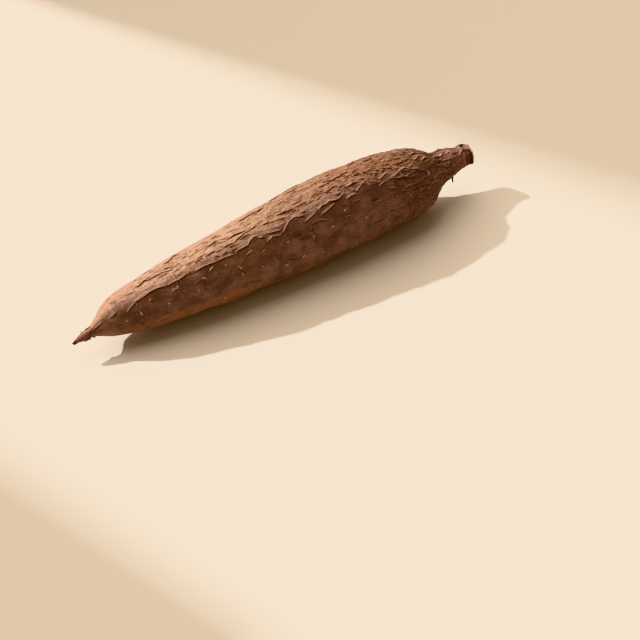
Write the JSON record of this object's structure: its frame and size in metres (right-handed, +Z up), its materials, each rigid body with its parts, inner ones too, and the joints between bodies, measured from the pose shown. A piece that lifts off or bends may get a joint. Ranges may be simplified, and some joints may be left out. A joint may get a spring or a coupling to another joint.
{
  "type": "cassava root",
  "caption": "Long tapering cassava root with rough furrowed brown bark, a thin pointed tail and a trimmed woody stalk end, lying on its side.",
  "frame": {"origin": "on the surface that the root lies on, under the middle of its bounding box", "axes": "+X along the root from the pointed tail to the cut stalk, +Z up, +Y across"},
  "size_m": [0.322, 0.0572, 0.0577],
  "materials": {
    "bark": "matt, dry, fissured brown corky bark with lighter worn edges, torn pinkish flakes at the neck and a pale woody cut"
  },
  "bodies": {
    "root": {"cassava_root": "bark"}
  },
  "joints": []
}
